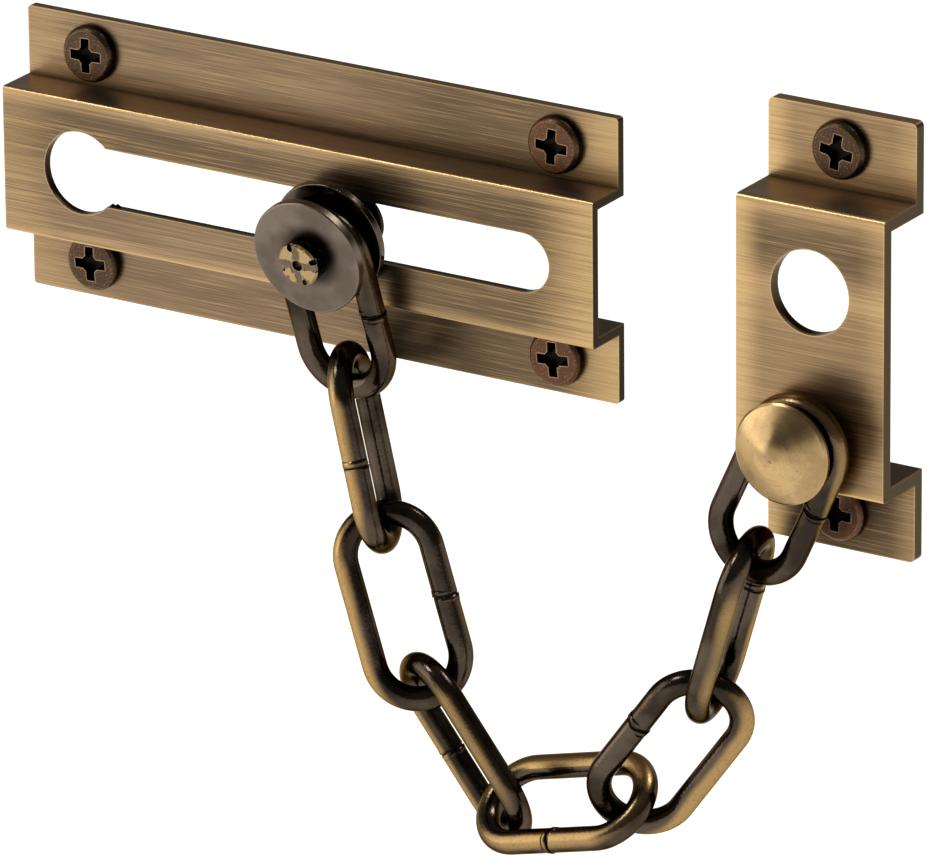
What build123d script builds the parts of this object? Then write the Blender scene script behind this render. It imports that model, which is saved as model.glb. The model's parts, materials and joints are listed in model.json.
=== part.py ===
from build123d import *
import os
from math import asin, atan2, cos, hypot, radians, sin, sqrt

# A door chain in millimetres and degrees. X runs along the slot, Y goes into the wall and Z is up.
# The origin is the middle of the slide plate's four screws, on the wall plane that both plates sit on.

# Slide plate: a pressed hat-section strip with a slot that opens into a keyhole
plate_length = 96.0
plate_middle_x = -0.5
plate_height = 41.0
plate_hat = 21.1
plate_depth = 8.1
plate_wall = 1.4
plate_bend = 0.45
plate_corner = 0.5
slot_height = 8.5
slot_end_x = 36.3
keyhole_x = -35.7
keyhole_dia = 12.0
plate_screw_x = 37.9
plate_screw_z = 15.3

# Keeper bracket: a shorter, taller hat section with a parking hole over its stud
keeper_x = 82.7
keeper_z = -3.1
keeper_width = 22.8
keeper_height = 62.2
keeper_hat = 40.0
keeper_depth = 10.4
keeper_wall = 1.9
keeper_bend = 0.7
keeper_corner = 0.8
keeper_screw_z = 25.7
parking_offset = 8.0
parking_dia = 12.0
stud_offset = -12.5

# Keeper stud: neck and blunt conical head in front of the bracket, peened head behind it
stud_shank_dia = 5.0
stud_neck_dia = 6.4
stud_neck_length = 6.6
stud_seat = 2.5
stud_head_dia = 14.3
stud_rim = 1.0
stud_dome = 2.9
stud_nose_dia = 5.6
stud_nose_rise = 0.66
stud_edge = 0.3
peen_dia = 8.0
peen_height = 1.2

# Wood screws: pan head with a cross recess, plain shoulder in the sheet, stem in the wood
screw_head_dia = 8.2
screw_head_height = 1.8
screw_head_wall = 0.6
screw_face_dia = 7.0
screw_crown = 0.2
screw_shoulder_dia = 4.2
screw_stem_dia = 3.8
screw_length = 9.5
screw_point = 3.0
screw_tip_dia = 0.6
recess_span = 5.0
recess_width = 1.4
recess_core = 2.6
recess_depth = 1.4
recess_taper = 9.0
plate_screw_turns = (3, 1, 4, -3)
keeper_screw_turns = (-8, -2)

# Slider: a headed rivet through the slot with two washers that guide the first link
slider_x = 7.1
slider_drop = -0.2
slider_droop = 11.0
washer_dia = 16.8
inner_washer_thick = 1.2
front_washer_thick = 1.4
washer_edge = 0.2
post_dia = 5.8
tip_dia = 5.0
stake_dia = 6.3
stake_height = 2.3
stake_edge = 0.3
stake_notches = 4
stake_notch_width = 0.8
stake_notch_length = 2.0
stake_notch_depth = 0.6
stake_notch_turn = 20.0
stake_pit_dia = 1.6
slider_head_thick = 1.0

# Chain links: bent wire with a butt seam in one long side
wire_dia = 3.5
link_length = 30.0
link_width = 15.6
seam_gap = 0.25

# Clearances between pieces
press_play = 0.05
hole_play = 0.4
slot_play = 1.9
keyhole_play = 2.2
droop_play = 0.3
groove_play = 0.8
link_play = 0.15

# How each link hangs: its slope from the line between post and stud, its roll about its own length,
# how far each joint stands off that line towards the wall, and the extra room the crossing wires need
hang_angles = (-72.2, -64.1, -59.7, -42.5, 25.8, 64.2, 83.6, 74.6)
link_rolls = (0, 71, -29, 34, -51, 29, 100, 0)
stand_offs = (0, 3.1, 1.8, 0.8, 1.4, 0, 0.5, 0.6, 0)
seat_rooms = (0.39, 0.06, 0.38, 0.59, 0.41, 0.06, 0.1)
first_link_lean = 1.1
seam_sides = (-1, -1, -1, 1, 1, -1, 1, 1)
seam_places = (1.5, 1.3, 0, -0.5, 0, 1.8, 3.6, 0.8)

# Sizes that follow from the ones above
screw_hole_dia = screw_shoulder_dia + hole_play
stud_hole_dia = stud_shank_dia + 2 * press_play
neck_dia = slot_height - slot_play
slider_head_dia = keyhole_dia - keyhole_play
tilt = radians(slider_droop)
neck_front = (plate_wall / 2 + washer_dia / 2 * sin(tilt) + droop_play) / cos(tilt)
neck_back = (plate_wall / 2 + slider_head_dia / 2 * sin(tilt) + droop_play) / cos(tilt)
groove_width = wire_dia + groove_play
groove_back = neck_front + inner_washer_thick
groove_front = groove_back + groove_width
tip_front = groove_front + front_washer_thick
slider_axis = Vector(0, -cos(tilt), -sin(tilt))
slider_centre = Vector(slider_x, -(plate_depth - plate_wall / 2), slider_drop)
stud_centre = Vector(keeper_x, -keeper_depth, keeper_z + stud_offset)
slider_plane = Plane(origin=slider_centre, x_dir=(1, 0, 0), z_dir=(0, sin(tilt), -cos(tilt)))
stud_plane = Plane(origin=stud_centre, x_dir=(1, 0, 0), z_dir=(0, 0, -1))
slider_turn = Axis(slider_centre, slider_axis)
stud_turn = Axis(stud_centre, (0, -1, 0))

os.makedirs("parts", exist_ok=True)


def hat_profile(height, hat, depth, wall, middle_z):
    """Corners of a hat section, wall plane at zero and its face towards the room."""
    inner = hat / 2 - wall
    half = [(0, height / 2), (-wall, height / 2), (-wall, hat / 2), (-depth, hat / 2)]
    back = [(-(depth - wall), inner), (0, inner)]
    lower = [(y, -z) for y, z in reversed(half)]
    inside = [(y, -z) for y, z in reversed(back)] + back
    return [(y, z + middle_z) for y, z in half + lower + inside]


def front_plane(depth):
    """Sketch plane on a face that looks into the room, X across and Z up."""
    return Plane(origin=(0, -depth, 0), x_dir=(1, 0, 0), z_dir=(0, -1, 0))


def dome_middle(radius, rise):
    """Point half way along a dome's profile, from its rim to its crown."""
    ball = (radius ** 2 + rise ** 2) / (2 * rise)
    half_angle = asin(radius / ball) / 2
    return (ball * sin(half_angle), rise - ball + ball * cos(half_angle))


# Slide plate: hat section, rounded bends and corners, keyhole slot, four screw holes
with BuildPart() as slide_plate:
    with BuildSketch(Plane.YZ.offset(plate_middle_x - plate_length / 2)):
        with BuildLine():
            Polyline(*hat_profile(plate_height, plate_hat, plate_depth, plate_wall, 0), close=True)
        make_face()
    extrude(amount=plate_length)
    fillet(slide_plate.edges().filter_by(Axis.X).group_by(Axis.Y)[0], radius=plate_bend)
    flange_corners = slide_plate.edges().filter_by(Axis.Y).group_by(Axis.Z)
    fillet(flange_corners[0] + flange_corners[-1], radius=plate_corner)
    with BuildSketch(front_plane(plate_depth)):
        with Locations(((keyhole_x + slot_end_x) / 2, 0)):
            SlotCenterToCenter(slot_end_x - keyhole_x, slot_height)
        with Locations((keyhole_x, 0)):
            Circle(keyhole_dia / 2)
    extrude(amount=plate_wall, both=True, mode=Mode.SUBTRACT)
    with BuildSketch(front_plane(plate_wall)):
        with GridLocations(2 * plate_screw_x, 2 * plate_screw_z, 2, 2):
            Circle(screw_hole_dia / 2)
    extrude(amount=plate_wall, both=True, mode=Mode.SUBTRACT)
slide_plate.part.label = "slide_plate"
export_step(slide_plate.part, "parts/slide_plate.step")

# Keeper bracket: hat section with a parking hole, the stud's hole and two screw holes
with BuildPart() as keeper_bracket:
    with BuildSketch(Plane.YZ.offset(keeper_x - keeper_width / 2)):
        with BuildLine():
            Polyline(
                *hat_profile(keeper_height, keeper_hat, keeper_depth, keeper_wall, keeper_z), close=True
            )
        make_face()
    extrude(amount=keeper_width)
    fillet(keeper_bracket.edges().filter_by(Axis.X).group_by(Axis.Y)[0], radius=keeper_bend)
    flange_corners = keeper_bracket.edges().filter_by(Axis.Y).group_by(Axis.Z)
    fillet(flange_corners[0] + flange_corners[-1], radius=keeper_corner)
    with BuildSketch(front_plane(keeper_depth)):
        with Locations((keeper_x, keeper_z + parking_offset)):
            Circle(parking_dia / 2)
        with Locations((keeper_x, keeper_z + stud_offset)):
            Circle(stud_hole_dia / 2)
    extrude(amount=keeper_wall, both=True, mode=Mode.SUBTRACT)
    with BuildSketch(front_plane(keeper_wall)):
        with Locations((keeper_x, keeper_z + keeper_screw_z), (keeper_x, keeper_z - keeper_screw_z)):
            Circle(screw_hole_dia / 2)
    extrude(amount=keeper_wall, both=True, mode=Mode.SUBTRACT)
keeper_bracket.part.label = "keeper_bracket"
export_step(keeper_bracket.part, "parts/keeper_bracket.step")

# Keeper stud: turned in one piece with a blunt cone on its head, its shank peened behind the bracket's face
stud_top = stud_neck_length + stud_rim
with BuildPart() as keeper_stud:
    with BuildSketch(stud_plane):
        with BuildLine():
            middle = dome_middle(stud_nose_dia / 2, stud_nose_rise)
            rim = (stud_head_dia / 2 - stud_edge, stud_top)
            nose = (stud_nose_dia / 2, stud_top + stud_dome - stud_nose_rise)
            crown = (0, stud_top + stud_dome)
            Line(rim, nose)
            ThreePointArc(nose, (middle[0], middle[1] + nose[1]), crown)
            Polyline(
                crown,
                (0, -keeper_wall - peen_height),
                (peen_dia / 2 - peen_height / 2, -keeper_wall - peen_height),
                (peen_dia / 2, -keeper_wall),
                (stud_shank_dia / 2, -keeper_wall),
                (stud_shank_dia / 2, 0),
                (stud_neck_dia / 2, 0),
                (stud_neck_dia / 2, stud_neck_length),
                (stud_head_dia / 2 - stud_edge, stud_neck_length),
                (stud_head_dia / 2, stud_neck_length + stud_edge),
                (stud_head_dia / 2, stud_top - stud_edge),
                rim,
            )
        make_face()
    revolve(axis=stud_turn)
keeper_stud.part.label = "keeper_stud"
export_step(keeper_stud.part, "parts/keeper_stud.step")


def screw_profile(wall):
    """Turned outline of a screw from under its head to its tip, for a sheet of this thickness."""
    stem_end = -screw_length + screw_point
    return [
        (0, screw_head_height),
        (0, -screw_length),
        (screw_tip_dia / 2, -screw_length),
        (screw_stem_dia / 2, stem_end),
        (screw_stem_dia / 2, -wall),
        (screw_shoulder_dia / 2, -wall),
        (screw_shoulder_dia / 2, 0),
        (screw_head_dia / 2, 0),
        (screw_head_dia / 2, screw_head_wall),
    ]


def cross_recess():
    """Two crossed tapered slots and the square pit where they meet, sunk in a screw's crown."""
    with BuildPart() as recess:
        for length, width, turn in (
            (recess_span, recess_width, 0),
            (recess_span, recess_width, 90),
            (recess_core, recess_core, 45),
        ):
            with BuildSketch(Plane.XY.offset(screw_head_height)):
                Rectangle(length, width, rotation=turn)
            extrude(amount=-recess_depth, taper=recess_taper)
    return recess.part


def wood_screw(wall):
    """One wood screw, head up, with the underside of its head at the origin."""
    outline = screw_profile(wall)
    face_edge = (screw_face_dia / 2, screw_head_height - screw_crown)
    middle = dome_middle(screw_face_dia / 2, screw_crown)
    with BuildPart() as screw:
        with BuildSketch(Plane.XZ):
            with BuildLine():
                Polyline(*outline)
                TangentArc(outline[-1], face_edge, tangent=(0, 1))
                ThreePointArc(face_edge, (middle[0], middle[1] + face_edge[1]), outline[0])
            make_face()
        revolve(axis=Axis.Z)
        add(cross_recess(), mode=Mode.SUBTRACT)
    return screw.part


# Slide plate screws: one in each flange hole, heads seated on the sheet
plate_screw = wood_screw(plate_wall)
plate_screw_places = [(x, z) for x in (-plate_screw_x, plate_screw_x) for z in (-plate_screw_z, plate_screw_z)]
with BuildPart() as slide_plate_screws:
    for place, turn in zip(plate_screw_places, plate_screw_turns):
        seat = front_plane(plate_wall).location * Location((place[0], place[1], 0), (0, 0, turn))
        add(plate_screw.moved(seat))
slide_plate_screws.part.label = "slide_plate_screws"
export_step(slide_plate_screws.part, "parts/slide_plate_screws.step")

# Keeper screws: one above and one below the bracket's hat
keeper_screw = wood_screw(keeper_wall)
with BuildPart() as keeper_screws:
    for side, turn in zip((1, -1), keeper_screw_turns):
        place = Location((keeper_x, keeper_z + side * keeper_screw_z, 0), (0, 0, turn))
        add(keeper_screw.moved(front_plane(keeper_wall).location * place))
keeper_screws.part.label = "keeper_screws"
export_step(keeper_screws.part, "parts/keeper_screws.step")

# Slider rivet: back head, neck through the slot, post inside the first link, tip staked at four places
with BuildPart() as slider_rivet:
    with BuildSketch(slider_plane):
        with BuildLine():
            Polyline(
                (0, -neck_back - slider_head_thick),
                (slider_head_dia / 2 - stake_edge, -neck_back - slider_head_thick),
                (slider_head_dia / 2, -neck_back - slider_head_thick + stake_edge),
                (slider_head_dia / 2, -neck_back),
                (neck_dia / 2, -neck_back),
                (neck_dia / 2, neck_front),
                (post_dia / 2, neck_front),
                (post_dia / 2, groove_front),
                (tip_dia / 2, groove_front),
                (tip_dia / 2, tip_front),
                (stake_dia / 2, tip_front),
                (stake_dia / 2, tip_front + stake_height - stake_edge),
                (stake_dia / 2 - stake_edge, tip_front + stake_height),
                (0, tip_front + stake_height),
                close=True,
            )
        make_face()
    revolve(axis=slider_turn)
    stake_face = slider_centre + slider_axis * (tip_front + stake_height)
    with BuildSketch(Plane(origin=stake_face, x_dir=(1, 0, 0), z_dir=slider_axis)):
        Circle(stake_pit_dia / 2)
        with PolarLocations(stake_dia / 2, stake_notches, start_angle=stake_notch_turn):
            SlotOverall(stake_notch_length, stake_notch_width)
    extrude(amount=-stake_notch_depth, mode=Mode.SUBTRACT)
slider_rivet.part.label = "slider_rivet"
export_step(slider_rivet.part, "parts/slider_rivet.step")


def washer(back, thick, bore):
    """A slider washer with broken edges, its back face this far out along the slider."""
    with BuildPart() as ring:
        with BuildSketch(Plane(origin=slider_centre + slider_axis * back, z_dir=slider_axis)):
            Circle(washer_dia / 2)
            Circle(bore / 2, mode=Mode.SUBTRACT)
        extrude(amount=thick)
        outer_edges = ring.edges().filter_by(GeomType.CIRCLE).sort_by(SortBy.RADIUS)[-2:]
        fillet(outer_edges, radius=washer_edge)
    return ring.part


# Slider inner washer: seated on the neck's shoulder, next to the slide plate
with BuildPart() as slider_inner_washer:
    add(washer(neck_front, inner_washer_thick, post_dia + 2 * press_play))
slider_inner_washer.part.label = "slider_inner_washer"
export_step(slider_inner_washer.part, "parts/slider_inner_washer.step")

# Slider front washer: seated on the post's shoulder under the staked tip
with BuildPart() as slider_front_washer:
    add(washer(groove_front, front_washer_thick, tip_dia + 2 * press_play))
slider_front_washer.part.label = "slider_front_washer"
export_step(slider_front_washer.part, "parts/slider_front_washer.step")

# Chain joints: seats where one wire rides on the next, shared by how flat each link lies
link_count = len(hang_angles)
flatness = [cos(radians(roll)) ** 2 for roll in link_rolls]
seat_starts = [post_dia / 2 + wire_dia / 2 + link_play]
seat_ends = []
for i in range(link_count - 1):
    seat = wire_dia * (1 + seat_rooms[i]) + link_play
    share = flatness[i] / (flatness[i] + flatness[i + 1])
    seat_ends.append(seat * share)
    seat_starts.append(seat * (1 - share))
seat_ends.append(stud_neck_dia / 2 + wire_dia / 2 + link_play)
spans = [link_length - wire_dia - a - b for a, b in zip(seat_starts, seat_ends)]

# Chain line: hung between the middle of the slider's groove and the last link's seat on the stud's neck
chain_start = slider_centre + slider_axis * (groove_back + groove_width / 2)
chain_end = stud_centre + Vector(0, -stud_seat, 0)
depths = []
for i, off in enumerate(stand_offs):
    depths.append(chain_start.Y + (chain_end.Y - chain_start.Y) * i / link_count + off)
flats = [sqrt(spans[i] ** 2 - (depths[i + 1] - depths[i]) ** 2) for i in range(link_count)]
reach = hypot(chain_end.X - chain_start.X, chain_end.Z - chain_start.Z)


def chord(sag):
    """End-to-end reach of the hung chain when every slope is scaled by this sag."""
    across = sum(flat * cos(radians(sag * hang)) for flat, hang in zip(flats, hang_angles))
    upward = sum(flat * sin(radians(sag * hang)) for flat, hang in zip(flats, hang_angles))
    return (across, upward)


sag_low = 0.0
sag_high = 1.6
for _ in range(50):
    sag = (sag_low + sag_high) / 2
    if hypot(*chord(sag)) > reach:
        sag_low = sag
    else:
        sag_high = sag
line_slope = atan2(chain_end.Z - chain_start.Z, chain_end.X - chain_start.X)
chord_slope = atan2(chord(sag)[1], chord(sag)[0])
joints = [chain_start]
for i in range(link_count):
    slope = line_slope - chord_slope + radians(sag * hang_angles[i])
    last = joints[-1]
    joints.append(Vector(last.X + flats[i] * cos(slope), depths[i + 1], last.Z + flats[i] * sin(slope)))


def link_plane(i):
    """Plane of a link: along it, across it, and its middle as the origin."""
    along = (joints[i + 1] - joints[i]).normalized()
    if i == 0:
        facing = slider_axis * -1
        along = (along - facing * along.dot(facing)).normalized()
        along = along.rotate(Axis((0, 0, 0), facing), -first_link_lean)
    else:
        facing = Vector(0, 1, 0)
        facing = (facing - along * along.dot(facing)).normalized()
    across = facing.cross(along)
    roll = radians(link_rolls[i])
    across = across * cos(roll) + facing * sin(roll)
    middle = joints[i] + along * ((link_length - wire_dia) / 2 - seat_starts[i])
    return Plane(origin=middle, x_dir=along, z_dir=along.cross(across))


def bent_link(i):
    """Wire bent round to a link, its ends meeting at the seam in one long side."""
    bend = (link_width - wire_dia) / 2
    straight = (link_length - wire_dia) / 2 - bend
    side = seam_sides[i] * bend
    seam = seam_places[i]
    plane = link_plane(i)
    with BuildPart() as link:
        with BuildLine(plane) as path:
            Line((seam + seam_gap / 2, side), (straight, side))
            ThreePointArc((straight, side), (straight + bend, 0), (straight, -side))
            Line((straight, -side), (-straight, -side))
            ThreePointArc((-straight, -side), (-straight - bend, 0), (-straight, side))
            Line((-straight, side), (seam - seam_gap / 2, side))
        wire_start = plane.from_local_coords(Vector(seam + seam_gap / 2, side, 0))
        with BuildSketch(Plane(origin=wire_start, z_dir=plane.x_dir)):
            Circle(wire_dia / 2)
        sweep(path=path.wires()[0])
    return link.part


# Chain links: counted from the slider to the stud
for i in range(link_count):
    with BuildPart() as chain_link:
        add(bent_link(i))
    chain_link.part.label = f"chain_link_{i + 1}"
    export_step(chain_link.part, f"parts/chain_link_{i + 1}.step")
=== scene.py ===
import json
import math

import bmesh
import bpy
import numpy as np
from mathutils import Matrix, Vector


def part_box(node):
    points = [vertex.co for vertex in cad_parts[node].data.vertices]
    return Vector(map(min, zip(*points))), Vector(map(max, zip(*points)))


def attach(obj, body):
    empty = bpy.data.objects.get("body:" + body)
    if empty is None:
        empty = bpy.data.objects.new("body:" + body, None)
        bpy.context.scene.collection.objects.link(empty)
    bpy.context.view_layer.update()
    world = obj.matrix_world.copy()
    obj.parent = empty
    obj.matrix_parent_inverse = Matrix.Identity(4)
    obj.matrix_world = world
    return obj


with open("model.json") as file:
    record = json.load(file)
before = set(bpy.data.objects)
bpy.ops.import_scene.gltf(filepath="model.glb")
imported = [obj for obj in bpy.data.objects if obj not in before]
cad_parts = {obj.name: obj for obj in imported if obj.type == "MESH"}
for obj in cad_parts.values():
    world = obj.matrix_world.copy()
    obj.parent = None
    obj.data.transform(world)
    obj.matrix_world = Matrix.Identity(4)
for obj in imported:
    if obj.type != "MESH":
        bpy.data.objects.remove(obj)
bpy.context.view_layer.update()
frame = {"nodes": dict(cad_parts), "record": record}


# Slide plate: a brass strip pressed to a hat section, its keyhole slot punched through, screwed to the door.
# It was dipped brown and relieved with a brush drawn along its length, so its front faces show brass, while
# its steps and its back keep the dark dip.
# Its outer bends and edges carry a painted highlight, and its cut ends, its corners and its right part are
# darker as painted shade.
plate_brass = (0.255, 0.173, 0.1, 1)
plate_shade = (0.175, 0.12, 0.073, 1)
plate_wear_and_sheen = (0.62, 0.41, 0.185, 1)
# Dark brown for a band across the raised face, and for the painted shade towards one side
band_and_shade_brown = (0.105, 0.071, 0.041, 1)
step_brown = (0.44, 0.35, 0.265, 1)
dip_brown = (0.105, 0.066, 0.037, 1)
# The dip's dark brown and black, also painted as shade in corners, recesses, on cut ends and round the
# rivet's tip
dip_and_shade_dark = (0.03, 0.021, 0.015, 1)
dip_and_shade_black = (0.009, 0.007, 0.006, 1)
plate_face_height = 0.0211
plate_end_reach = 0.011
plate_end_rubs = (0.3, 0.68)
plate_shade_at = 0.005
# Painted shade: the slide plate darkens towards the right
plate_painted_shade_reach = ("X", -0.004, 0.022, 0.75)
plate_line_share = 0.8
warm_glance = (0.85, 0.76, 0.64, 1)


def feed(tree, socket, value):
    """A socket linked to another one, or set to a value."""
    if isinstance(value, bpy.types.NodeSocket):
        tree.links.new(value, socket)
    else:
        socket.default_value = value


def add_node(tree, kind, settings=None, **sockets):
    """A shader node with its settings and its sockets filled in by name."""
    made = tree.nodes.new(kind)
    for name, value in (settings or {}).items():
        setattr(made, name, value)
    for name, value in sockets.items():
        feed(tree, made.inputs[name.replace("_", " ")], value)
    return made


def new_group(name, inputs, outputs):
    """An empty shader node group with these sockets, and its two ends."""
    group = bpy.data.node_groups.new(name, "ShaderNodeTree")
    for socket, kind, value in inputs:
        group.interface.new_socket(socket, in_out="INPUT", socket_type=kind).default_value = value
    for socket in outputs:
        group.interface.new_socket(socket, in_out="OUTPUT", socket_type="NodeSocketFloat")
    return group, group.nodes.new("NodeGroupInput").outputs, group.nodes.new("NodeGroupOutput").inputs


def ramp(tree, value, low, high):
    """A value stretched so that low becomes 0 and high becomes 1, with soft ends."""
    made = add_node(tree, "ShaderNodeMapRange", {"interpolation_type": "SMOOTHSTEP"}, Value=value)
    made.inputs["From Min"].default_value = low
    made.inputs["From Max"].default_value = high
    return made.outputs["Result"]


def sum_of(tree, operation, *values):
    """One step of arithmetic between values."""
    made = add_node(tree, "ShaderNodeMath", {"operation": operation})
    for socket, value in zip(made.inputs, values):
        feed(tree, socket, value)
    return made.outputs[0]


def vector_sum(tree, operation, *values):
    """One step of vector arithmetic."""
    made = add_node(tree, "ShaderNodeVectorMath", {"operation": operation})
    for socket, value in zip(made.inputs, values):
        feed(tree, socket, value)
    return made.outputs["Value" if operation in ("LENGTH", "DOT_PRODUCT") else "Vector"]


def blend(tree, amount, first, second):
    """First colour where the amount is 0, second where it is 1."""
    made = add_node(tree, "ShaderNodeMix", {"data_type": "RGBA"})
    sockets = {socket.identifier: socket for socket in [*made.inputs, *made.outputs]}
    for name, value in (("Factor_Float", amount), ("A_Color", first), ("B_Color", second)):
        feed(tree, sockets[name], value)
    return sockets["Result_Color"]


def part_of(tree, value, share):
    """A mask weakened to this share."""
    return sum_of(tree, "MULTIPLY", value, share)


def faint(tree, value, levels, share):
    """A value stretched between two levels, then weakened to this share."""
    return part_of(tree, ramp(tree, value, *levels), share)


def mottle(tree, where, scale, detail):
    """Uneven patches of this scale and detail."""
    return add_node(tree, "ShaderNodeTexNoise", Vector=where, Scale=scale, Detail=detail).outputs["Fac"]


def split(tree, vector):
    """The X, Y and Z of a vector."""
    return add_node(tree, "ShaderNodeSeparateXYZ", Vector=vector).outputs


# Edge wear and corner shade: outer edges lose their dip and also carry a painted highlight; inner corners are
# darkened with painted shade over the dip kept in them
edge_levels = (0.995, 0.86)
corner_levels = (0.98, 0.45)
edge_wear_glint_and_corner_shade, inside, outside = new_group(
    "edge wear, glint and corner shade",
    [("Edge Width", "NodeSocketFloat", 0.0006), ("Corner Reach", "NodeSocketFloat", 0.004)],
    ["Edge", "Corner"],
)
surface = edge_wear_glint_and_corner_shade.nodes.new("ShaderNodeNewGeometry")
rounded = add_node(edge_wear_glint_and_corner_shade, "ShaderNodeBevel", {"samples": 6}, Radius=inside["Edge Width"])
facing = vector_sum(edge_wear_glint_and_corner_shade, "DOT_PRODUCT", rounded.outputs["Normal"], surface.outputs["Normal"])
shade = add_node(
    edge_wear_glint_and_corner_shade, "ShaderNodeAmbientOcclusion", {"samples": 10, "only_local": True},
    Distance=inside["Corner Reach"],
)
# Corner: ambient occlusion turned into painted shade in inner corners
corner = ramp(edge_wear_glint_and_corner_shade, shade.outputs["AO"], *corner_levels)
open_edge = sum_of(edge_wear_glint_and_corner_shade, "SUBTRACT", 1.0, corner)
# Edge: outer edges, for wear and for a painted highlight along them
edge = sum_of(edge_wear_glint_and_corner_shade, "MULTIPLY", ramp(edge_wear_glint_and_corner_shade, facing, *edge_levels), open_edge)
edge_wear_glint_and_corner_shade.links.new(edge, outside["Edge"])
edge_wear_glint_and_corner_shade.links.new(corner, outside["Corner"])

# Relieved faces: which way a pressed face looks, so how far the brush reached it; the bend mask also places a
# painted highlight and the end mask a painted shade
front_looks = (-0.55, -0.97)
bend_looks = (0.1, 0.42)
end_looks = (0.6, 0.9)
relieved_faces, inside, outside = new_group("relieved faces", [], ["Front", "Bend", "End"])
place = relieved_faces.nodes.new("ShaderNodeTexCoord")
looks = split(relieved_faces, place.outputs["Normal"])
across_bend = sum_of(relieved_faces, "ABSOLUTE", sum_of(relieved_faces, "MULTIPLY", looks["Y"], looks["Z"]))
along = sum_of(relieved_faces, "ABSOLUTE", looks["X"])
relieved_faces.links.new(ramp(relieved_faces, looks["Y"], *front_looks), outside["Front"])
relieved_faces.links.new(ramp(relieved_faces, across_bend, *bend_looks), outside["Bend"])
relieved_faces.links.new(ramp(relieved_faces, along, *end_looks), outside["End"])

# Brush strokes: hair lines, longer streaks and broad bands, all drawn out along X
stroke_kinds = (
    ("Lines", (85, 9200, 9200), 3.0),
    ("Streaks", (38, 2600, 2600), 3.0),
    ("Bands", (9, 150, 150), 2.0),
)
brush_strokes, inside, outside = new_group("brush strokes", [], ["Lines", "Streaks", "Bands"])
place = brush_strokes.nodes.new("ShaderNodeTexCoord")
for name, stretch, detail in stroke_kinds:
    drawn = vector_sum(brush_strokes, "MULTIPLY", place.outputs["Object"], stretch)
    brush_strokes.links.new(mottle(brush_strokes, drawn, 1.0, detail), outside[name])


def group_node(tree, group, **values):
    """A shared effect placed in a material with its own values."""
    return add_node(tree, "ShaderNodeGroup", {"node_tree": group}, **values).outputs


def new_metal(name):
    """An empty metal material: itself, its node tree and its shader."""
    made = bpy.data.materials.new(name)
    made.use_nodes = True
    shader = made.node_tree.nodes["Principled BSDF"]
    shader.inputs["Metallic"].default_value = 1.0
    shader.inputs["Specular Tint"].default_value = warm_glance
    return made, made.node_tree, shader


def finish_metal(tree, shader, colour, rough, bump=None):
    """The colour, the roughness and the bumps of a metal, led into its shader."""
    feed(tree, shader.inputs["Base Color"], colour)
    feed(tree, shader.inputs["Roughness"], rough)
    if bump is not None:
        feed(tree, shader.inputs["Normal"], bump.outputs["Normal"])


# On a pressed strip: depths behind its front, distances from the edge of its raised face, and noise levels
raised_depths = (0.003, 0.001)
wall_depths = (0.0003, 0.0008)
bend_wear_and_highlight_reach = 0.0024
punched_from = (0.002, 0.004)
inside_from = (0.005, 0.0035)
flange_from = (0.003, 0.005)
band_reach = (0.006, 0.001)
band_levels = (0.36, 0.64)
streak_levels = (0.48, 0.3)
dark_levels = (0.52, 0.3)
bright_levels = (0.48, 0.7)
step_levels = (0.55, 0.35)
back_looks = (0.3, 0.8)
brass_rough = (0.2, 0.24)

# How strongly each of these shows
band_share = 0.8
bend_share = 0.4
streak_share = 0.14
dark_share = 0.65
bright_share = 0.46
step_share = 0.5
inside_share = 0.85
corner_share = 0.7
gleam_share = 0.9
edge_share = 0.5
end_edge_loss = 0.4


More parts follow.
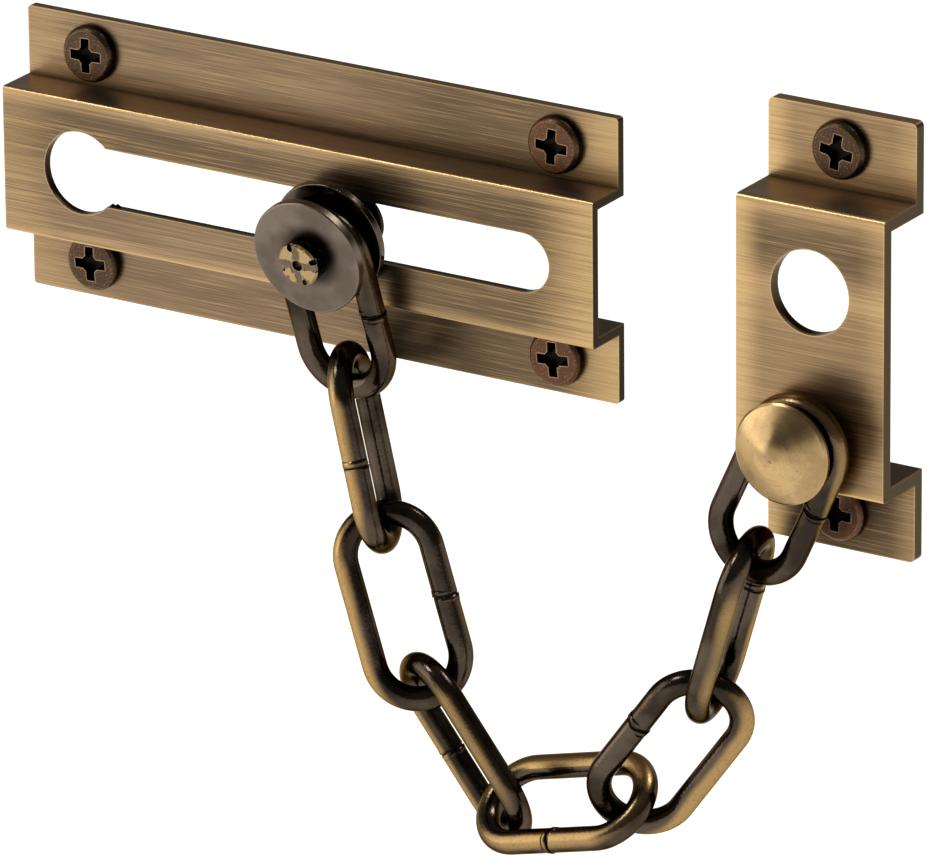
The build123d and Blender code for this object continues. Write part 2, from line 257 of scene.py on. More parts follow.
def relieved_brass(
    name, node, brass, shade, wear_and_sheen, shaded_cut_end,
    face_height, end_reach, end_rubs, shade_at, painted_shade_reach, line_share,
):
    """Brushed brass for a strip pressed along X, browner in one band of its face, with painted shade towards
    one side, on its cut ends and in its corners, and painted highlights on its bends and edges.
    """
    low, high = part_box(node)
    made, tree, shader = new_metal(name)
    looks = group_node(tree, relieved_faces)
    wear_glint_and_shade = group_node(tree, edge_wear_glint_and_corner_shade, Edge_Width=0.0005, Corner_Reach=0.0016)
    brush = group_node(tree, brush_strokes)
    place = tree.nodes.new("ShaderNodeTexCoord")
    spot = split(tree, place.outputs["Object"])
    facing = split(tree, place.outputs["Normal"])
    from_middle = sum_of(tree, "SUBTRACT", spot["Z"], (low[2] + high[2]) / 2)
    height = sum_of(tree, "ABSOLUTE", from_middle)
    left_rub, right_rub = end_rubs
    left_end = faint(tree, spot["X"], (low[0] + end_reach, low[0]), left_rub)
    right_end = faint(tree, spot["X"], (high[0] - end_reach, high[0]), right_rub)
    edge = face_height / 2
    raised = ramp(tree, spot["Y"], *(low[1] + depth for depth in raised_depths))
    # Near the bends: wear and a painted highlight along the face's edge
    near_bend = sum_of(tree, "MULTIPLY", ramp(tree, height, edge - bend_wear_and_highlight_reach, edge), raised)
    punched = ramp(tree, height, *(edge - away for away in punched_from))
    flange = ramp(tree, height, *(edge + away for away in flange_from))
    from_band = sum_of(tree, "ABSOLUTE", sum_of(tree, "SUBTRACT", from_middle, shade_at))
    band = sum_of(tree, "MULTIPLY", ramp(tree, from_band, *band_reach), raised)
    colour = blend(tree, ramp(tree, brush["Bands"], *band_levels), shade, brass)
    colour = blend(tree, part_of(tree, band, band_share), colour, band_and_shade_brown)
    # Painted shade: the strip darkens along one axis
    axis, *painted_shade_levels, painted_shade_share = painted_shade_reach
    painted_shade = faint(tree, spot[axis], painted_shade_levels, painted_shade_share)
    colour = blend(tree, painted_shade, colour, band_and_shade_brown)
    colour = blend(tree, sum_of(tree, "MAXIMUM", left_end, right_end), colour, wear_and_sheen)
    colour = blend(tree, part_of(tree, near_bend, bend_share), colour, wear_and_sheen)
    streaks = faint(tree, brush["Streaks"], streak_levels, streak_share)
    dark_lines = faint(tree, brush["Lines"], dark_levels, dark_share * line_share)
    bright_lines = faint(tree, brush["Lines"], bright_levels, bright_share * line_share)
    colour = blend(tree, streaks, colour, dip_brown)
    colour = blend(tree, dark_lines, colour, dip_brown)
    colour = blend(tree, bright_lines, colour, wear_and_sheen)
    step_lines = faint(tree, brush["Lines"], step_levels, step_share)
    side = blend(tree, step_lines, step_brown, dip_brown)
    side = blend(tree, flange, side, brass)
    side = blend(tree, ramp(tree, facing["Y"], *back_looks), side, dip_brown)
    inwards = sum_of(tree, "MULTIPLY", facing["Z"], from_middle)
    inside_step = ramp(tree, inwards, *(away - edge for away in inside_from))
    side = blend(tree, part_of(tree, inside_step, inside_share), side, dip_and_shade_dark)
    wall = blend(tree, ramp(tree, spot["Y"], *(low[1] + depth for depth in wall_depths)), brass, dip_and_shade_black)
    side = blend(tree, punched, side, wall)
    colour = blend(tree, looks["Front"], side, colour)
    # Cut ends: painted shade, dark
    colour = blend(tree, looks["End"], colour, shaded_cut_end)
    # Corners: painted shade over the dip kept there
    colour = blend(tree, part_of(tree, wear_glint_and_shade["Corner"], corner_share), colour, dip_and_shade_dark)
    # Bends and outer edges: painted highlight, with some wear on the edges
    edge_wear_and_glint = sum_of(tree, "MULTIPLY_ADD", looks["End"], -end_edge_loss, edge_share)
    front_edge = sum_of(tree, "MULTIPLY", wear_glint_and_shade["Edge"], edge_wear_and_glint)
    bright = sum_of(tree, "MAXIMUM", part_of(tree, looks["Bend"], gleam_share), front_edge)
    colour = blend(tree, bright, colour, wear_and_sheen)
    rough = sum_of(tree, "MULTIPLY_ADD", brush["Lines"], *brass_rough)
    bump = add_node(tree, "ShaderNodeBump", Height=brush["Lines"], Strength=0.25, Distance=0.00003)
    finish_metal(tree, shader, colour, rough, bump)
    return made


nodes = frame["nodes"]


def dress(node, material):
    """The material in a CAD node's own slot."""
    nodes[node].data.materials.clear()
    nodes[node].data.materials.append(material)


dress(
    "slide_plate",
    relieved_brass(
        "slide plate brass", "slide_plate", plate_brass, plate_shade, plate_wear_and_sheen, dip_and_shade_black,
        plate_face_height, plate_end_reach, plate_end_rubs,
        plate_shade_at, plate_painted_shade_reach, plate_line_share,
    ),
)

# The punch left a torn burr on the slot's lower edge, beside the keyhole
burr_start = Vector((-0.0315, 0, -0.00425))
burr_heights = (0.0, 0.00034, 0.00012, 0.00042, 0.0002, 0.0)
burr_step = 0.0004
burr_root = 0.0001
burr_set_back = 0.0011
burr_thick = 0.0003
dip_grime = 2000.0
dip_rough = 0.5
scene = bpy.context.scene


def add_piece(name, bm, material, body):
    """A new piece from a finished bmesh, on its body and in its material slot."""
    mesh = bpy.data.meshes.new(name)
    bm.to_mesh(mesh)
    bm.free()
    mesh.materials.append(material)
    piece = bpy.data.objects.new(name, mesh)
    scene.collection.objects.link(piece)
    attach(piece, body)


dip_finish, tree, shader = new_metal("thick dip")
place = tree.nodes.new("ShaderNodeTexCoord")
grime = mottle(tree, place.outputs["Object"], dip_grime, 3.0)
finish_metal(tree, shader, blend(tree, grime, dip_and_shade_black, dip_and_shade_dark), dip_rough)
bm = bmesh.new()
bmesh.ops.create_grid(bm, x_segments=len(burr_heights) - 1, y_segments=1, size=0.5)
for vert in bm.verts:
    station = round((vert.co.x + 0.5) * (len(burr_heights) - 1))
    rise = burr_heights[station] if vert.co.y > 0 else -burr_root
    vert.co = burr_start + Vector((station * burr_step, 0, rise))
    vert.co.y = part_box("slide_plate")[0][1] + burr_set_back
bmesh.ops.solidify(bm, geom=bm.faces[:], thickness=burr_thick)
bmesh.ops.recalc_face_normals(bm, faces=bm.faces)
add_piece("slot_burr", bm, dip_finish, "plates")


# Slide plate screws: steel wood screws with a pan head and a cross recess, copper plated and browned.
# The head's wall is black as painted shade, the recess is black with dip and painted shade, its rim shows
# copper through wear and carries a painted highlight, and the threads bite in wood.
screw_copper = (0.105, 0.052, 0.028, 1)
screw_brown = (0.068, 0.042, 0.025, 1)
screw_rim_wear_and_glint = (0.5, 0.31, 0.18, 1)
screw_blotches = 700.0
screw_blotch_levels = (0.45, 0.7)
screw_blotch_share = 0.5
screw_grain = 4200.0
screw_grain_levels = (0.55, 0.7)
screw_grain_share = 0.3
screw_rim_glint_share = 0.95
screw_shaded_wall_looks = (-0.45, -0.1)
screw_rough = (0.3, 0.22)
recess_floor = 0.0011
recess_soft = 0.0003
wood_line = 0.0002
thread_pitch = 0.0016
thread_height = 0.00035
thread_width = 0.0009
thread_start = 0.0012
thread_steps = 24
point_length = 0.003
point_taper = 0.18


def plated_screw(name, node, axis, brown_at, copper_at):
    """Copper-brown plating that turns more coppery along an axis, with recesses and head walls darkened as
    painted shade, and rims copper from wear with a painted highlight.
    """
    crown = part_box(node)[0][1]
    made, tree, shader = new_metal(name)
    place = tree.nodes.new("ShaderNodeTexCoord")
    where = place.outputs["Object"]
    spot = split(tree, where)
    looks = split(tree, place.outputs["Normal"])
    recess_dip_and_shade = ramp(tree, spot["Y"], crown + recess_floor - recess_soft, crown + recess_floor)
    recess_dip_and_shade = sum_of(tree, "MULTIPLY", recess_dip_and_shade, ramp(tree, spot["Y"], wood_line, 0.0))
    blotch = mottle(tree, where, screw_blotches, 4.0)
    fine = mottle(tree, where, screw_grain, 2.0)
    wear_glint_and_shade = group_node(tree, edge_wear_glint_and_corner_shade, Edge_Width=0.0003, Corner_Reach=0.0014)
    colour = blend(tree, ramp(tree, spot[axis], brown_at, copper_at), screw_brown, screw_copper)
    colour = blend(tree, faint(tree, blotch, screw_blotch_levels, screw_blotch_share), colour, screw_brown)
    colour = blend(tree, faint(tree, fine, screw_grain_levels, screw_grain_share), colour, screw_rim_wear_and_glint)
    # Rim: wear to copper and a painted highlight
    colour = blend(tree, part_of(tree, wear_glint_and_shade["Edge"], screw_rim_glint_share), colour, screw_rim_wear_and_glint)
    # Head wall: painted shade, black
    colour = blend(tree, ramp(tree, looks["Y"], *screw_shaded_wall_looks), colour, dip_and_shade_black)
    # Corners and recess: painted shade over the dip kept there
    colour = blend(tree, sum_of(tree, "MAXIMUM", wear_glint_and_shade["Corner"], recess_dip_and_shade), colour, dip_and_shade_black)
    rough = sum_of(tree, "MULTIPLY_ADD", blotch, *screw_rough)
    bump = add_node(tree, "ShaderNodeBump", Height=fine, Strength=0.25, Distance=0.00004)
    finish_metal(tree, shader, colour, rough, bump)
    return made


def thread_ridge(bm, x, z, tip, stem):
    """A ridge wound round one screw's stem and run out on its point."""
    before = len(bm.verts)
    length = tip - thread_start - thread_width
    steps = int(length / thread_pitch * thread_steps)
    outline = ((stem, 0), (stem + thread_height, thread_width / 2), (stem, thread_width))
    verts = [bm.verts.new((x + radius, thread_start + rise, z)) for radius, rise in outline]
    edges = [bm.edges.new((verts[i], verts[(i + 1) % 3])) for i in range(3)]
    wound = bmesh.ops.spin(
        bm, geom=verts + edges, cent=(x, 0, z), axis=(0, 1, 0), dvec=(0, length / steps, 0),
        angle=math.tau * steps / thread_steps, steps=steps,
    )
    bm.faces.new(verts)
    bm.faces.new([item for item in wound["geom_last"] if isinstance(item, bmesh.types.BMVert)])
    bm.verts.ensure_lookup_table()
    for vert in bm.verts[before:]:
        left = max(tip - vert.co.y, 0) / point_length
        taper = min(1, point_taper + (1 - point_taper) * left)
        vert.co.x = x + (vert.co.x - x) * taper
        vert.co.z = z + (vert.co.z - z) * taper


mounts = {mount["name"]: mount for mount in frame["record"]["mounts"]}


def screw_threads(name, mount, node, material):
    """The threads of one group of screws, as one piece on the plates."""
    dims = mounts[mount]["dims"]
    centre = mounts[mount]["pos_m"]
    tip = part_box(node)[1][1]
    half_x = dims.get("spacing_x_mm", 0) / 2000
    half_z = dims["spacing_y_mm"] / 2000
    bm = bmesh.new()
    for x in sorted({centre[0] - half_x, centre[0] + half_x}):
        for z in (centre[2] - half_z, centre[2] + half_z):
            thread_ridge(bm, x, z, tip, dims["stud_r_mm"] / 1000)
    bmesh.ops.recalc_face_normals(bm, faces=bm.faces)
    add_piece(name, bm, material, "plates")


plating_reach = 0.03
plate_screw_finish = plated_screw(
    "slide plate screw plating", "slide_plate_screws", "X", -plating_reach, plating_reach
)
dress("slide_plate_screws", plate_screw_finish)
screw_threads("slide_plate_screw_threads", "door_screws", "slide_plate_screws", plate_screw_finish)


# Keeper bracket: a shorter, thicker brass strip pressed to the same section, screwed to the door's frame.
# Brushed across, it stays more golden than the slide plate; its cut sides are painted dark brown as shade,
# and it is painted darker towards the bottom as shade.
keeper_brass = (0.415, 0.269, 0.135, 1)
keeper_shade = (0.27, 0.177, 0.092, 1)
keeper_wear_and_sheen = (0.7, 0.46, 0.2, 1)
# Painted shade for the keeper's cut sides
keeper_shaded_side = (0.05, 0.036, 0.023, 1)
keeper_face_height = 0.04
keeper_end_reach = 0.0045
keeper_end_rubs = (0.68, 0.3)
keeper_shade_at = 0.0135
# Painted shade: the keeper darkens towards its bottom
keeper_painted_shade_reach = ("Z", -0.005, -0.026, 1.0)
keeper_line_share = 0.6
dress(
    "keeper_bracket",
    relieved_brass(
        "keeper brass", "keeper_bracket", keeper_brass, keeper_shade, keeper_wear_and_sheen, keeper_shaded_side,
        keeper_face_height, keeper_end_reach, keeper_end_rubs,
        keeper_shade_at, keeper_painted_shade_reach, keeper_line_share,
    ),
)


# Keeper stud: turned brass with a blunt cone for a head, its shank peened behind the bracket's face.
# The head is matt gold from wear and peppered with small dark pits; its neck and the sides of its head are
# darker brown, its rim carries a painted highlight and its corners painted shade.
stud_gold = (0.53, 0.355, 0.16, 1)
stud_shade = (0.36, 0.238, 0.11, 1)
stud_rings = 5200.0
stud_ring_levels = (0.55, 0.35)
stud_ring_share = 0.2
stud_clouds = 210.0
stud_cloud_levels = (0.38, 0.62)
stud_line_levels = (0.5, 0.3)
stud_line_share = 0.3
stud_pits = 1900.0
stud_pit_levels = (0.62, 0.76)
stud_pit_share = 0.45
stud_neck_looks = (-0.4, 0.0)
stud_edge_share = 0.7
stud_rough = (0.2, 0.2)
stud_low, stud_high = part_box("keeper_stud")
stud_axis = ((stud_low[0] + stud_high[0]) / 2, 0, (stud_low[2] + stud_high[2]) / 2)


def turned_brass(name):
    """Matt turned brass with faint lathe rings, clouds and pits."""
    made, tree, shader = new_metal(name)
    place = tree.nodes.new("ShaderNodeTexCoord")
    spot = place.outputs["Object"]
    looks = split(tree, place.outputs["Normal"])
    centred = add_node(tree, "ShaderNodeMapping", Vector=spot)
    centred.inputs["Location"].default_value = [-c for c in stud_axis]
    centred.inputs["Scale"].default_value = (1, 0, 1)
    away = vector_sum(tree, "LENGTH", centred.outputs["Vector"])
    ring_place = add_node(tree, "ShaderNodeCombineXYZ", X=part_of(tree, away, stud_rings))
    rings = mottle(tree, ring_place.outputs["Vector"], 1.0, 2.0)
    brush = group_node(tree, brush_strokes)
    cloud = mottle(tree, spot, stud_clouds, 5.0)
    pits = mottle(tree, spot, stud_pits, 3.0)
    wear_glint_and_shade = group_node(tree, edge_wear_glint_and_corner_shade, Edge_Width=0.0004, Corner_Reach=0.003)
    colour = blend(tree, ramp(tree, cloud, *stud_cloud_levels), stud_shade, stud_gold)
    colour = blend(tree, faint(tree, rings, stud_ring_levels, stud_ring_share), colour, stud_shade)
    colour = blend(tree, faint(tree, brush["Lines"], stud_line_levels, stud_line_share), colour, dip_brown)
    colour = blend(tree, faint(tree, pits, stud_pit_levels, stud_pit_share), colour, dip_brown)
    colour = blend(tree, ramp(tree, looks["Y"], *stud_neck_looks), colour, dip_brown)
    # Rim: painted highlight with wear
    colour = blend(tree, part_of(tree, wear_glint_and_shade["Edge"], stud_edge_share), colour, plate_wear_and_sheen)
    # Corners: painted shade
    colour = blend(tree, wear_glint_and_shade["Corner"], colour, dip_and_shade_dark)
    rough = sum_of(tree, "MULTIPLY_ADD", cloud, *stud_rough)
    bump = add_node(tree, "ShaderNodeBump", Height=pits, Strength=0.12, Distance=0.00004)
    finish_metal(tree, shader, colour, rough, bump)
    return made


dress("keeper_stud", turned_brass("stud brass"))


# Keeper screws: the same steel wood screws as the slide plate's, one above and one below the raised face.
# They come from the same plating, browner at the top and more coppery at the bottom.
keeper_screw_finish = plated_screw(
    "keeper screw plating", "keeper_screws", "Z", plating_reach, -plating_reach
)
dress("keeper_screws", keeper_screw_finish)
screw_threads("keeper_screw_threads", "frame_screws", "keeper_screws", keeper_screw_finish)


# Slider rivet: turned brass, headed behind the slot and staked over its washers with a cross punch.
# It was dipped black with the washers on it, and only the struck face of its tip is bare and rough.
tip_gold = (0.38, 0.262, 0.125, 1)
tip_dull = (0.13, 0.1, 0.075, 1)
tip_depth = 0.0011
tip_drift = 0.0012
tip_drift_grain = 900.0
tip_lumps = 700.0
tip_lump_levels = (0.3, 0.5)
tip_looks = (0.3, 0.8)
tip_edge_share = 0.7
tip_corner_share = 0.9
tip_rough = 0.38
punch_narrow = 0.00025
punch_wide = 0.0006
joints = {joint["name"]: joint for joint in frame["record"]["behaviour"]["joints"]}
slider_joint = joints["link_1_swing"]
slider_axis = -Vector(slider_joint["axis"])
punch_middle = Vector(slider_joint["pos_m"]) + Vector((1, 1, 1)) * tip_drift / 2
punch_arms = (Vector((1, 0, 0)), slider_axis.cross(Vector((1, 0, 0))))
rivet_tip = max(vert.co.dot(slider_axis) for vert in nodes["slider_rivet"].data.vertices)


def struck_rivet(name):
    """A black rivet whose front tip is bare, crushed brass."""
    made, tree, shader = new_metal(name)
    place = tree.nodes.new("ShaderNodeTexCoord")
    spot = place.outputs["Object"]
    drift = add_node(tree, "ShaderNodeTexNoise", Vector=spot, Scale=tip_drift_grain, Detail=2.0)
    drifted = vector_sum(tree, "MULTIPLY_ADD", drift.outputs["Color"], (tip_drift,) * 3, spot)
    lumps = add_node(tree, "ShaderNodeTexVoronoi", Vector=drifted, Scale=tip_lumps)
    punched = vector_sum(tree, "SUBTRACT", drifted, punch_middle)
    arms = [sum_of(tree, "ABSOLUTE", vector_sum(tree, "DOT_PRODUCT", punched, arm)) for arm in punch_arms]
    left_proud = ramp(tree, sum_of(tree, "MINIMUM", *arms), punch_narrow, punch_wide)
    crush = sum_of(tree, "MULTIPLY", left_proud, ramp(tree, lumps.outputs["Distance"], *tip_lump_levels))
    wear_glint_and_shade = group_node(tree, edge_wear_glint_and_corner_shade, Edge_Width=0.0004, Corner_Reach=0.0012)
    along = vector_sum(tree, "DOT_PRODUCT", spot, slider_axis)
    faces_out = vector_sum(tree, "DOT_PRODUCT", place.outputs["Normal"], slider_axis)
    in_front = ramp(tree, along, rivet_tip - tip_depth, rivet_tip - tip_depth / 2)
    bare = sum_of(tree, "MULTIPLY", in_front, ramp(tree, faces_out, *tip_looks))
    brass = blend(tree, crush, tip_dull, tip_gold)
    # Tip edges: painted highlight with wear
    brass = blend(tree, part_of(tree, wear_glint_and_shade["Edge"], tip_edge_share), brass, tip_gold)
    colour = blend(tree, bare, dip_and_shade_black, brass)
    # Corners: painted shade
    colour = blend(tree, part_of(tree, wear_glint_and_shade["Corner"], tip_corner_share), colour, dip_and_shade_dark)
    bump = add_node(tree, "ShaderNodeBump", Height=crush, Strength=0.9, Distance=0.0004)
    finish_metal(tree, shader, colour, tip_rough, bump)
    return made


dress("slider_rivet", struck_rivet("struck rivet"))


# Slider washers: two brass washers with the first link between them, both dipped with the rivet.
# The inner one is still black and glossy; the front one is satin grey from wear, with a painted shadow round
# the tip; both rims carry a painted highlight and the front one's edge a painted sheen.
washer_grey = (0.105, 0.081, 0.062, 1)
washer_pale = (0.165, 0.131, 0.103, 1)
washer_black = (0.028, 0.021, 0.017, 1)
washer_gloss = (0.095, 0.074, 0.058, 1)
# Painted highlight for the washers' rims
washer_rim_highlight = (0.58, 0.48, 0.36, 1)
# Painted sheen on the front washer's edge
washer_edge_sheen = (0.17, 0.135, 0.1, 1)
# Painted shadow of the rivet's tip on the front washer, shifted to the side it falls on
tip_shadow_inner = 0.0032
tip_shadow_outer = 0.0055
tip_shadow_shift = Vector((0.0009, 0, 0.0005))
washer_clouds = 190.0
washer_cloud_levels = (0.36, 0.66)
washer_cloud_rough = 0.14
washer_specks = 2600.0
washer_speck_levels = (0.62, 0.74)
washer_speck_share = 0.5
washer_side_looks = (0.75, 0.4)
washer_rim_highlight_share = 0.7
washer_corners = [vert.co for vert in nodes["slider_front_washer"].data.vertices]
washer_middle = sum(washer_corners, Vector()) / len(washer_corners)


def dipped_washer(name, dark, pale, edge, rough_base, tip_shadow):
    """A dipped washer, clouded from dark to pale, with a painted highlight on its rim, its edge in a colour
    of its own, and a painted shadow round its middle.
    """
    made, tree, shader = new_metal(name)
    place = tree.nodes.new("ShaderNodeTexCoord")
    where = place.outputs["Object"]
    spot = vector_sum(tree, "SUBTRACT", where, washer_middle)
    faces_out = vector_sum(tree, "DOT_PRODUCT", place.outputs["Normal"], slider_axis)
    out = vector_sum(tree, "LENGTH", vector_sum(tree, "SUBTRACT", spot, tip_shadow_shift))
    cloud = mottle(tree, where, washer_clouds, 4.0)
    specks = mottle(tree, where, washer_specks, 2.0)
    wear_glint_and_shade = group_node(tree, edge_wear_glint_and_corner_shade, Edge_Width=0.00035, Corner_Reach=0.001)
    colour = blend(tree, ramp(tree, cloud, *washer_cloud_levels), dark, pale)
    colour = blend(tree, faint(tree, specks, washer_speck_levels, washer_speck_share), colour, dark)
    # Painted shadow round the tip
    colour = blend(tree, faint(tree, out, (tip_shadow_outer, tip_shadow_inner), tip_shadow), colour, dip_and_shade_black)
    # Edge: its own colour, on the front washer a paler painted sheen
    colour = blend(tree, ramp(tree, faces_out, *washer_side_looks), colour, edge)
    # Rim: painted highlight
    colour = blend(tree, part_of(tree, wear_glint_and_shade["Edge"], washer_rim_highlight_share), colour, washer_rim_highlight)
    rough = sum_of(tree, "MULTIPLY_ADD", cloud, washer_cloud_rough, rough_base)
    finish_metal(tree, shader, colour, rough)
    return made


dress(
    "slider_inner_washer",
    dipped_washer("black washer", washer_black, washer_gloss, washer_gloss, rough_base=0.1, tip_shadow=0.0),
)
dress(
    "slider_front_washer",
    dipped_washer("grey washer", washer_grey, washer_pale, washer_edge_sheen, rough_base=0.24, tip_shadow=0.9),
)


# Chain links: round wire cut, bent through the link before and butted at a seam, then dipped and tumbled.
# Tumbling rubs each link's more open sides through to brass, and the same gold also paints a reflection of
# the light, while its inner sides and seam stay dark and its corners carry painted shade.
wire_dark = (0.03, 0.022, 0.016, 1)
wire_grey = (0.085, 0.063, 0.045, 1)
# Brass showing through wear, also used as a painted reflection
wire_gold_and_sheen = (0.385, 0.24, 0.094, 1)
wire_glance = (0.46, 0.42, 0.37, 1)

# How much gold each link shows, from wear and from a painted reflection, and how it leans up the link, to its
# left wire and to its front
link_gold_and_sheen = (
    (0.15, (0, 0, 0)), (1.0, (0, -0.1, -0.9)), (1.0, (0, 0.4, 0.3)), (0.85, (0, 0.5, 1.0)),
    (0.95, (0, 0.6, 1.4)), (0.9, (0, -0.65, 0.65)), (0.8, (0, -0.5, 1.0)), (0.55, (0.9, 0, -1.0)),
)

# Wire sides: how much of the tumbling a spot on a flat-laid link took, most on its straight outer sides, plus
# a lean that also places the painted reflection
wire_sides, inside, outside = new_group(
    "wire sides",
    [("Place", "NodeSocketVector", (0, 0, 0)), ("Normal", "NodeSocketVector", (0, 0, 1)),
     ("Lean", "NodeSocketVector", (0, 0, 0)), ("Straight", "NodeSocketFloat", 0.007)],
    ["Reach"],
)
bend_shelter = -110.0
lean_across = 150.0
spot = split(wire_sides, inside["Place"])
looks = split(wire_sides, inside["Normal"])
past = sum_of(wire_sides, "SUBTRACT", sum_of(wire_sides, "ABSOLUTE", spot["X"]), inside["Straight"])
past = sum_of(wire_sides, "MAXIMUM", past, 0.0)
bent = sum_of(wire_sides, "MULTIPLY", past, sum_of(wire_sides, "SIGN", spot["X"]))
away = add_node(wire_sides, "ShaderNodeCombineXYZ", X=bent, Y=spot["Y"])
away = vector_sum(wire_sides, "NORMALIZE", away.outputs["Vector"])
reach = vector_sum(wire_sides, "DOT_PRODUCT", away, inside["Normal"])
along = sum_of(wire_sides, "DIVIDE", spot["X"], inside["Straight"])
across = part_of(wire_sides, spot["Y"], lean_across)
leans = add_node(wire_sides, "ShaderNodeCombineXYZ", X=along, Y=across, Z=looks["Z"])
leant = vector_sum(wire_sides, "DOT_PRODUCT", leans.outputs["Vector"], inside["Lean"])
reach = sum_of(wire_sides, "MULTIPLY_ADD", past, bend_shelter, sum_of(wire_sides, "ADD", reach, leant))
wire_sides.links.new(reach, outside["Reach"])


link_up = np.array((0.2, 0, 1))
link_front = np.array((1, -0.6, 0))
wire_patches = 120.0
wire_grain = 2400.0
patch_push = 0.9
grain_push = 0.3
gold_levels = (1.0, 1.75)
patch_levels = (0.62, 0.38)
grain_levels = (0.5, 0.7)
grain_share = 0.3
wire_corner_share = 0.9
wire_rough = (0.16, 0.17)


def link_laid_flat(node):
    """The turn and the move that lay a link flat at the origin along X, and its length and width."""
    points = np.array([vert.co for vert in nodes[node].data.vertices])
    axes = np.linalg.svd(points - points.mean(axis=0), full_matrices=False)[2]
    axes[0] *= np.sign(axes[0] @ link_up)
    axes[2] *= np.sign(axes[2] @ link_front)
    axes[1] = np.cross(axes[2], axes[0])
    laid = points @ axes.T
    middle = (laid.min(axis=0) + laid.max(axis=0)) / 2
    return Matrix(axes.tolist()), Vector(-middle), np.ptp(laid, axis=0)


def tumbled_wire(name, node, gold_share, lean):
    """Dark dip on a link, gone through to brass by this much along its outer sides, the brass partly a
    painted reflection, with painted shade in its corners.
    """
    turn, move, sizes = link_laid_flat(node)
    made, tree, shader = new_metal(name)
    place = tree.nodes.new("ShaderNodeTexCoord")
    where = place.outputs["Object"]
    laid = add_node(tree, "ShaderNodeMapping", {"vector_type": "POINT"}, Vector=where)
    turned = add_node(tree, "ShaderNodeMapping", {"vector_type": "VECTOR"}, Vector=place.outputs["Normal"])
    laid.inputs["Location"].default_value = move
    for mapping in (laid, turned):
        mapping.inputs["Rotation"].default_value = turn.to_euler()
    sides = group_node(
        tree, wire_sides, Place=laid.outputs["Vector"], Normal=turned.outputs["Vector"],
        Lean=lean, Straight=float(sizes[0] - sizes[1]) / 2,
    )
    patch = mottle(tree, where, wire_patches, 4.0)
    fine = mottle(tree, where, wire_grain, 3.0)
    wear_glint_and_shade = group_node(tree, edge_wear_glint_and_corner_shade, Edge_Width=0.0003, Corner_Reach=0.0008)
    reach = sum_of(tree, "MULTIPLY_ADD", patch, patch_push, sides["Reach"])
    reach = sum_of(tree, "MULTIPLY_ADD", fine, grain_push, reach)
    # Gold: wear through the dip and a painted reflection
    wear_and_sheen = faint(tree, reach, gold_levels, gold_share)
    colour = blend(tree, ramp(tree, patch, *patch_levels), wire_dark, wire_grey)
    colour = blend(tree, wear_and_sheen, colour, wire_gold_and_sheen)
    colour = blend(tree, faint(tree, fine, grain_levels, grain_share), colour, wire_dark)
    # Corners: painted shade
    colour = blend(tree, part_of(tree, wear_glint_and_shade["Corner"], wire_corner_share), colour, dip_and_shade_black)
    shader.inputs["Specular Tint"].default_value = wire_glance
    rough = sum_of(tree, "MULTIPLY_ADD", wear_and_sheen, *wire_rough)
    bump = add_node(tree, "ShaderNodeBump", Height=fine, Strength=0.3, Distance=0.00008)
    finish_metal(tree, shader, colour, rough, bump)
    return made


seam_depth = 0.00008
seam_lap = 0.00002
seam_segments = 40
lip_flare = 0.00007
lip_length = 0.0009
lip_shift = 0.00007
lip_segments = 56


def butt_seam(number, finish):
    """A link's seam: a dark disc a little inside the wire, and two sheared ends, flared and out of line."""
    node = f"chain_link_{number}"
    turn, move, sizes = link_laid_flat(node)
    mesh = nodes[node].data
    ends = set()
    for face in mesh.polygons:
        laid = turn @ face.center + move
        if abs(face.normal.dot(turn[0])) > 0.999 and abs(laid.x) < sizes[0] / 4:
            ends.update(face.vertices)
    laid = np.array([turn @ mesh.vertices[i].co + move for i in ends])
    middle = turn.transposed() @ (Vector((laid.min(axis=0) + laid.max(axis=0)) / 2) - move)
    gap, _, thick = np.ptp(laid, axis=0)
    upright = turn[0].to_track_quat("Z", "Y").to_matrix().to_4x4()
    bm = bmesh.new()
    bmesh.ops.create_cone(
        bm, cap_ends=True, segments=seam_segments, radius1=thick / 2 - seam_depth,
        radius2=thick / 2 - seam_depth, depth=gap + 2 * seam_lap, matrix=Matrix.Translation(middle) @ upright,
    )
    add_piece(f"link_{number}_seam", bm, dip_finish, f"link_{number}")
    bm = bmesh.new()
    radii = (thick / 2 + lip_flare, thick / 2 - seam_lap)
    for side in (-1, 1):
        spot = middle + turn[0] * side * (gap + lip_length) / 2 + turn[1] * side * lip_shift
        bmesh.ops.create_cone(
            bm, cap_ends=True, segments=lip_segments, radius1=radii[side < 0], radius2=radii[side > 0],
            depth=lip_length, matrix=Matrix.Translation(spot) @ upright,
        )
    for face in bm.faces:
        face.smooth = len(face.verts) == 4
    add_piece(f"link_{number}_lips", bm, finish, f"link_{number}")


for number, (gold_share, lean) in enumerate(link_gold_and_sheen, start=1):
    finish = tumbled_wire(f"tumbled wire {number}", f"chain_link_{number}", gold_share, lean)
    dress(f"chain_link_{number}", finish)
    butt_seam(number, finish)


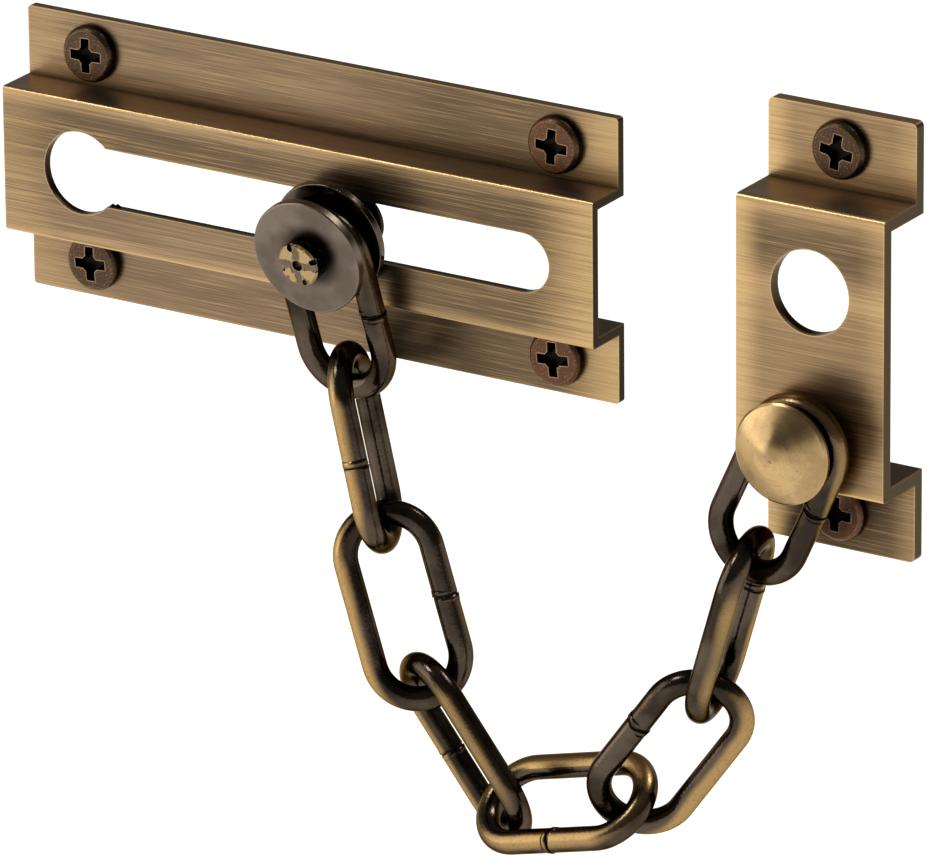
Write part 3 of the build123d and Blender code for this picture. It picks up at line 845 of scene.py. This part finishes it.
# Studio: a plain white floor far below the held-up chain, a pale horizon that darkens overhead,
# a broad soft lamp at the left, two small ones over the front and the back, and the photograph's camera.
floor_drop = 0.35
floor_size = 12.0
floor_glow = 0.92
floor_white = (0.8, 0.8, 0.8, 1)
bm = bmesh.new()
bmesh.ops.create_grid(
    bm, x_segments=1, y_segments=1, size=floor_size / 2, matrix=Matrix.Translation((0, 0, -floor_drop))
)
mesh = bpy.data.meshes.new("floor")
bm.to_mesh(mesh)
bm.free()
floor = bpy.data.objects.new("floor", mesh)
scene.collection.objects.link(floor)
paper = bpy.data.materials.new("white floor")
paper.use_nodes = True
tree = paper.node_tree
matt = tree.nodes["Principled BSDF"]
matt.inputs["Base Color"].default_value = floor_white
matt.inputs["Roughness"].default_value = 1.0
matt.inputs["Specular IOR Level"].default_value = 0.0
ray = tree.nodes.new("ShaderNodeLightPath").outputs
mirrored = sum_of(tree, "MAXIMUM", ray["Is Glossy Ray"], ray["Is Transmission Ray"])
seen = sum_of(tree, "MAXIMUM", ray["Is Camera Ray"], mirrored)
glow = add_node(tree, "ShaderNodeEmission", Strength=part_of(tree, seen, floor_glow))
both = tree.nodes.new("ShaderNodeAddShader")
tree.links.new(matt.outputs["BSDF"], both.inputs[0])
tree.links.new(glow.outputs["Emission"], both.inputs[1])
tree.links.new(both.outputs["Shader"], tree.nodes["Material Output"].inputs["Surface"])
mesh.materials.append(paper)

overhead = 0.12
horizon_edge = 0.05
overhead_edge = 0.26
world = bpy.data.worlds.new("studio")
scene.world = world
world.use_nodes = True
tree = world.node_tree
towards = tree.nodes.new("ShaderNodeTexCoord").outputs["Generated"]
sky = split(tree, towards)
level = ramp(tree, sky["Z"], overhead_edge, horizon_edge)
light = tree.nodes["Background"].inputs
tree.links.new(sum_of(tree, "MULTIPLY_ADD", level, 1 - overhead, overhead), light["Strength"])
light["Color"].default_value = (1, 1, 1, 1)

lamp_target = Vector((0.025, -0.01, -0.03))
for name, spot, size, power in (
    ("left lamp", (-1.2, -0.75, 0.35), 1.1, 8.0),
    ("front top lamp", (-0.62, -0.5, 1.0), 0.3, 3.2),
    ("back top lamp", (0.45, 0.5, 0.95), 0.35, 4.0),
):
    lamp = bpy.data.lights.new(name, "AREA")
    lamp.size = size
    lamp.energy = power
    holder = bpy.data.objects.new(name, lamp)
    holder.location = spot
    holder.rotation_euler = (lamp_target - Vector(spot)).to_track_quat("-Z", "Y").to_euler()
    scene.collection.objects.link(holder)

# Camera: where the photograph was taken from, level to half a degree, through a very long lens
azimuth = math.radians(32.343)
elevation = math.radians(20.553)
tilt = math.radians(-0.548)
distance = 1.5
shift_right = 0.01931
shift_up = -0.032534
aim = Vector((-0.00095, 0, 0.0003))
image_width = 927
focal_pixels = 10912.4
back = Vector((
    math.sin(azimuth) * math.cos(elevation), -math.cos(azimuth) * math.cos(elevation), math.sin(elevation)
))
level = Vector((math.cos(azimuth), math.sin(azimuth), 0))
upward = back.cross(level)
right = level * math.cos(tilt) + upward * math.sin(tilt)
up = upward * math.cos(tilt) - level * math.sin(tilt)
eye = aim + right * shift_right + up * shift_up + back * distance
lens = bpy.data.cameras.new("camera")
lens.sensor_fit = "HORIZONTAL"
lens.lens = focal_pixels / image_width * lens.sensor_width
camera = bpy.data.objects.new("camera", lens)
camera.matrix_world = Matrix((
    (right.x, up.x, back.x, eye.x),
    (right.y, up.y, back.y, eye.y),
    (right.z, up.z, back.z, eye.z),
    (0, 0, 0, 1),
))
scene.collection.objects.link(camera)
scene.camera = camera
scene.view_settings.view_transform = "Standard"
